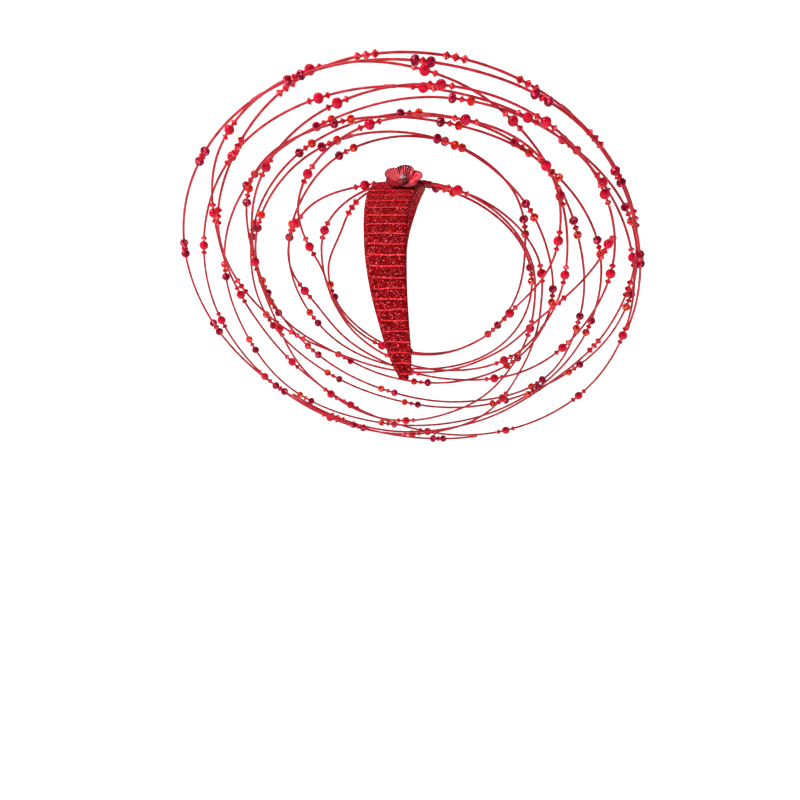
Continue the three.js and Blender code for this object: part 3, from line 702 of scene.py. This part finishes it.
def headbandMesh():
    left, leftPaintedHighlightRows = bandArm(-1)
    right, rightPaintedHighlightRows = bandArm(1)
    rings = left[::-1] + [bandRing(1, 0, band["wall"], 0, 0)] + right
    paintedHighlightRows = leftPaintedHighlightRows[::-1] + [False] + rightPaintedHighlightRows
    size = len(rings[0])
    points = [p for ring in rings for p in ring]
    faces, faceMaterial = [], []
    outer = band["acrossSteps"]
    for k in range(len(rings) - 1):
        for i in range(size):
            j = (i + 1) % size
            faces.append((k * size + i, k * size + j, (k + 1) * size + j, (k + 1) * size + i))
            # faces at a wrap's free edge take the painted highlight
            edge = paintedHighlightRows[k] and paintedHighlightRows[k + 1] and 0 < i < outer - 2
            faceMaterial.append(1 if edge else 0)
    faces.append(tuple(reversed(range(size))))
    faces.append(tuple(range((len(rings) - 1) * size, len(rings) * size)))
    faceMaterial += [0, 0]
    return newMesh("ribbon_wound_band", points, faces, [ribbonFinish, edgePaintedHighlightFinish], faceMaterial)


headband = headbandMesh()
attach(headband, "root")
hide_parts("headband")
print("headband made")

# binding: ribbon wound round the wires that cross the crown

# back, front: clock angles of its ends; room: from the outer wires' middles to the ribbon, across and up
bindingLook = {
    "back": 346, "front": 362, "steps": 48, "around": 24, "wraps": 5, "wall": 1.2, "lap": 0.5, "endLap": 1.4,
    "room": (1.3, 1.0), "square": (0.6, 0.8),
    "crossing": [(0, 3), (0, 5), (2, 1)],       # what it holds: which wire, and which turn of it
}


def bindingFrame(clock):
    crossing = []
    for which, number in bindingLook["crossing"]:
        wire, here = wires[which], []
        start = halo["hourAngle"] * wire["startHour"]
        for place in (clock, clock + 1):
            height = turnHeight(wire, number, place, start, start + 360)
            here.append(haloPoint(place, shareOn(wire, place + 360 * number), height))
        crossing.append(here)
    (near, nearNext), (between, betweenNext), (far, farNext) = crossing
    ahead = (betweenNext - between).normalized()
    moved = []
    for point, follow in ((near, nearNext), (far, farNext)):
        run = (follow - point).normalized()
        moved.append(point + run * ((between - point).dot(ahead) / run.dot(ahead)))
    near, far = moved
    middle = (near + far) / 2
    wide = far - near
    halfWidth = wide.length / 2 + bindingLook["room"][0]
    wide.normalize()
    high = wide.cross(ahead).normalized()
    bow = (between - middle).dot(high)
    return middle + high * (bow / 2), wide, high, halfWidth, abs(bow) / 2 + bindingLook["room"][1]


def bindingMesh():
    outside, inside = [], []
    around = bindingLook["around"]
    for k in range(bindingLook["steps"] + 1):
        way = k / bindingLook["steps"]
        clock = bindingLook["back"] + way * (bindingLook["front"] - bindingLook["back"])
        middle, wide, high, halfWidth, halfHeight = bindingFrame(clock)
        outerRing, innerRing = [], []
        for i in range(around):
            turn = 2 * math.pi * i / around
            lap = (way * bindingLook["wraps"] + i / around) % 1.0
            thin = bindingLook["lap"] * (1 - lap) * (bindingLook["endLap"] if way in (0, 1) else 1)
            grow = bindingLook["wall"] - thin
            x, y = squared(turn, bindingLook["square"])
            outerRing.append(middle + wide * (x * (halfWidth + grow)) + high * (y * (halfHeight + grow)))
            innerRing.append(middle + wide * (x * halfWidth) + high * (y * halfHeight))
        outside.append(outerRing)
        inside.append(innerRing)
    rings = outside + inside[::-1]
    points = [p for ring in rings for p in ring]
    faces = []
    for k in range(len(rings)):
        a, b = k * around, ((k + 1) % len(rings)) * around
        for i in range(around):
            j = (i + 1) % around
            faces.append((a + i, a + j, b + j, b + i))
    return newMesh("ribbon_binding", points, faces, [ribbonFinish])


binding = bindingMesh()
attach(binding, "root")
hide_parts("binding")

# flower: five fluted foil petals and a crystal, sizes in mm

bloom = {
    "diameter": 32.5, "depth": 5.0, "stalk": 1.8, "footRadius": 1.6, "petals": 5, "turn": -10, "tilt": 50,
    "side": 30, "forward": 2.5, "clear": 0.3, "paintedLightTones": [1, 2, 0, 1, 0], "acrossSteps": 72, "outSteps": 12,
    # a petal starts at this share of the rim; its corners are cut back by a share that grows with this power
    "heart": 0.22, "corner": 0.24, "cornerPower": 2.4,
    # heights: at the heart and from there to the rim, as shares of the depth; cup: its middle above its edges
    "heartHeight": -0.1, "climb": 1.05, "climbPower": 1.5, "cup": 0.5,
    # flutes are full from fluteStart on, and pressed flatter by fluteRim at the rim
    "sheet": 0.45, "flutes": 9, "fluteDepth": 0.4, "fluteStart": 0.625, "fluteRim": (0.85, 0.6),
    # lap: a petal's width as a share of its sector
    # stagger: how far one edge lies above the other, at the heart and added towards the rim
    "lap": 1.1, "stagger": (0.09, 0.21),
    # the floor that the petals grow from, as radius and height
    "floor": [(2.6, -0.75), (3.9, -0.7), (4.2, -0.1), (2.2, 0.1)], "floorSides": 24,
    "crystal": 5.2, "crystalLift": 1.2,
}


def bloomFrame():
    tilt = math.radians(bloom["tilt"])
    axis = Vector((-math.sin(tilt), 0, math.cos(tilt)))
    sideways = Vector((math.cos(tilt), 0, math.sin(tilt)))
    down = bloom["side"] / halfArch
    x, z = archPoint(down)
    nx, nz = archNormal(down)
    lean = tilt - math.atan2(nx, nz)
    rise = (band["wall"] + band["wrapStep"] + bloom["clear"] + bloom["stalk"] * math.cos(lean)
            + bloom["footRadius"] * math.sin(lean))
    foot = Vector((-(x + nx * rise), -bloom["forward"], z + nz * rise))

    def place(a, b, c):
        return foot + sideways * a + axis * c + Vector((0, b, 0))
    return place, axis


def petalPoint(petal, across, out, lift):
    # across -1 to 1 between a petal's two edges, out 0 at the foot to 1 at its rim
    rim = bloom["diameter"] / 2
    spread = math.pi / bloom["petals"] * bloom["lap"]
    centre = math.radians(bloom["turn"] + petal * 360 / bloom["petals"])
    corner = bloom["corner"] * abs(across) ** bloom["cornerPower"] * out
    radius = rim * (bloom["heart"] + (1 - bloom["heart"]) * out) * (1 - corner)
    height = bloom["depth"] * (bloom["heartHeight"] + bloom["climb"] * out ** bloom["climbPower"])
    height += bloom["cup"] * (1 - abs(across)) * out - lift
    ridge = 1 - 2 * abs(math.sin(0.5 * math.pi * bloom["flutes"] * (across + 1)))
    flattenFrom, flattened = bloom["fluteRim"]
    height += ridge * bloom["fluteDepth"] * min(1, out / bloom["fluteStart"]) * (
        1 if out < flattenFrom else flattened)
    heart, further = bloom["stagger"]
    height -= across * (heart + further * out)
    angle = centre + across * spread
    return radius * math.cos(angle), radius * math.sin(angle), height


def flowerMesh():
    place, _ = bloomFrame()
    points, faces, uv, faceMaterial = [], [], [], []
    wide, out = bloom["acrossSteps"], bloom["outSteps"]

    def layout(*corners):       # flutes along the petal's width, and the way from its foot to its rim
        uv.append(tuple((bloom["flutes"] * c / wide, r / out) for r, c in corners))
    for petal in range(bloom["petals"]):
        first = len(points)
        for lift in (0, bloom["sheet"]):
            for r in range(out + 1):
                for c in range(wide + 1):
                    points.append(place(*petalPoint(petal, -1 + 2 * c / wide, r / out, lift)))
        layer = (out + 1) * (wide + 1)

        def at(level, r, c):
            return first + level * layer + r * (wide + 1) + c
        for r in range(out):
            for c in range(wide):
                faces.append((at(0, r, c), at(0, r, c + 1), at(0, r + 1, c + 1), at(0, r + 1, c)))
                layout((r, c), (r, c + 1), (r + 1, c + 1), (r + 1, c))
                faces.append((at(1, r, c), at(1, r + 1, c), at(1, r + 1, c + 1), at(1, r, c + 1)))
                layout((r, c), (r + 1, c), (r + 1, c + 1), (r, c + 1))
        for c in range(wide):
            faces.append((at(0, out, c), at(0, out, c + 1), at(1, out, c + 1), at(1, out, c)))
            layout((out, c), (out, c + 1), (out, c + 1), (out, c))
            faces.append((at(0, 0, c), at(1, 0, c), at(1, 0, c + 1), at(0, 0, c + 1)))
            layout((0, c), (0, c), (0, c + 1), (0, c + 1))
        for r in range(out):
            faces.append((at(0, r, 0), at(0, r + 1, 0), at(1, r + 1, 0), at(1, r, 0)))
            layout((r, 0), (r + 1, 0), (r + 1, 0), (r, 0))
            faces.append((at(0, r, wide), at(1, r, wide), at(1, r + 1, wide), at(0, r + 1, wide)))
            layout((r, wide), (r, wide), (r + 1, wide), (r + 1, wide))
        # each petal takes a copy of the foil with its own painted light
        faceMaterial += [bloom["paintedLightTones"][petal]] * (len(faces) - len(faceMaterial))
    # the stalk and the floor, turned from one profile
    sides, foot = bloom["floorSides"], bloom["footRadius"]
    rings = [(foot, -bloom["stalk"]), (foot, -0.5 * bloom["stalk"])] + bloom["floor"]
    first = len(points)
    for radius, height in rings:
        for i in range(sides):
            turn = 2 * math.pi * i / sides
            points.append(place(radius * math.cos(turn), radius * math.sin(turn), height))
    for k in range(len(rings) - 1):
        for i in range(sides):
            j = (i + 1) % sides
            a, b = first + k * sides, first + (k + 1) * sides
            faces.append((a + i, a + j, b + j, b + i))
            layout(*[(0, 0)] * 4)
    faces.append(tuple(reversed(range(first, first + sides))))
    faces.append(tuple(range(len(points) - sides, len(points))))
    layout(*[(0, 0)] * sides)
    layout(*[(0, 0)] * sides)
    faceMaterial += [0] * (len(faces) - len(faceMaterial))
    return newMesh("foil_flower", points, faces, foilFinishes, faceMaterial, uv=uv)


flower = flowerMesh()
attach(flower, "root")
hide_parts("flower")

place, axis = bloomFrame()
crystalLook = {"diameter": bloom["crystal"], "length": 4.8, "sides": 8, "twist": True, "smooth": False,
               "facets": [0], "rings": [(-0.5, 0.4), (-0.3, 0.8), (0.0, 1.0), (0.26, 0.8), (0.5, 0.45)]}
build = ([], [], [], [])
addBead(build, place(0, 0, bloom["crystalLift"] + 0.5 * bloom["crystal"]), axis, crystalLook)
crystal = newMesh("crystal_centre", build[0], build[1], [crystalFinish], build[2], build[3])
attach(crystal, "root")
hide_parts("flower_centre")
print("binding and flower made")

# stage, light and camera, sizes in metres

# open: the wall is whole up to the first angle from its middle, and gone from the second on
stage = {"floorZ": -0.485, "reach": 3.2, "bend": 0.9, "wall": 2.4, "open": (105, 135), "sides": 72,
         "innerRing": 0.05, "bendSteps": 12, "glow": 0.56}


def backdrop():     # a round cove with its floor; its wall sinks to the floor on the side that stays open
    flat = stage["reach"] - stage["bend"]
    profile = [(stage["innerRing"], 0), (flat, 0)]
    for k in range(1, stage["bendSteps"] + 1):
        turn = math.pi / 2 * k / stage["bendSteps"]
        profile.append((flat + stage["bend"] * math.sin(turn), stage["bend"] * (1 - math.cos(turn))))
    profile.append((stage["reach"], stage["wall"]))
    sides = stage["sides"]
    full, gone = stage["open"]
    points, faces = [], []
    for reach, rise in profile:
        for i in range(sides):
            turn = 360 * i / sides - 180
            share = 1 - ease((abs(turn) - full) / (gone - full))
            turn = math.radians(turn)
            points.append((reach * math.cos(turn) / mm, reach * math.sin(turn) / mm,
                           (stage["floorZ"] + rise * share) / mm))
    for k in range(len(profile) - 1):
        for i in range(sides):
            j = (i + 1) % sides
            faces.append((k * sides + j, k * sides + i, (k + 1) * sides + i, (k + 1) * sides + j))
    faces.append(tuple(range(sides)))
    # matt paper from a roll, lit so well that it shows pure white
    material, tree, shader = newMaterial("mattePaperRoll", {
        "Roughness": 0.95, "Specular IOR Level": 0.1, "Emission Color": (1, 1, 1, 1),
        "Emission Strength": stage["glow"]})
    body = addNode(tree, "ShaderNodeTexCoord").outputs["Object"]
    fibre = addNode(tree, "ShaderNodeTexNoise", None, {"Scale": perMillimetre(40), "Detail": 4.0},
                    {"Vector": body})
    colour = addNode(tree, "ShaderNodeValToRGB", None, None, {"Fac": fibre.outputs["Fac"]},
                     [(0.3, "#F6F6F6"), (0.7, "#FBFBFB")])
    tree.links.new(colour.outputs["Color"], shader.inputs["Base Color"])
    return newMesh("paper_backdrop", points, faces, [material])


backdrop()


def addLight(name, place, aim, size, power):
    lamp = bpy.data.lights.new(name, "AREA")
    lamp.shape = "SQUARE"
    lamp.size = size
    lamp.energy = power
    holder = bpy.data.objects.new(name, lamp)
    holder.location = place
    holder.rotation_euler = (Vector(aim) - Vector(place)).to_track_quat("-Z", "Y").to_euler()
    bpy.context.scene.collection.objects.link(holder)


aim = (0.05, 0, -0.05)
addLight("keySoftbox", (-0.7, 0.75, 0.75), aim, 0.28, 19)
addLight("topSoftbox", (0.1, 0.1, 1.2), aim, 0.8, 5)
addLight("fillSoftbox", (-1.1, -0.7, 0.0), aim, 0.7, 1.0)
world = bpy.data.worlds.new("studioAir")
bpy.context.scene.world = world
world.use_nodes = True
world.node_tree.nodes["Background"].inputs["Color"].default_value = (1, 1, 1, 1)
world.node_tree.nodes["Background"].inputs["Strength"].default_value = 0.07
bpy.context.scene.view_settings.view_transform = "Standard"

lens = bpy.data.cameras.new("photoCamera")
lens.sensor_width = 36
lens.lens = 34.19
lens.clip_start = 0.05
camera = bpy.data.objects.new("photoCamera", lens)
camera.location = tuple(c * mm for c in halo["sight"])
camera.rotation_euler = (math.pi / 2, 0, -math.pi / 2)
bpy.context.scene.collection.objects.link(camera)
bpy.context.scene.camera = camera
print("stage, light and camera made")
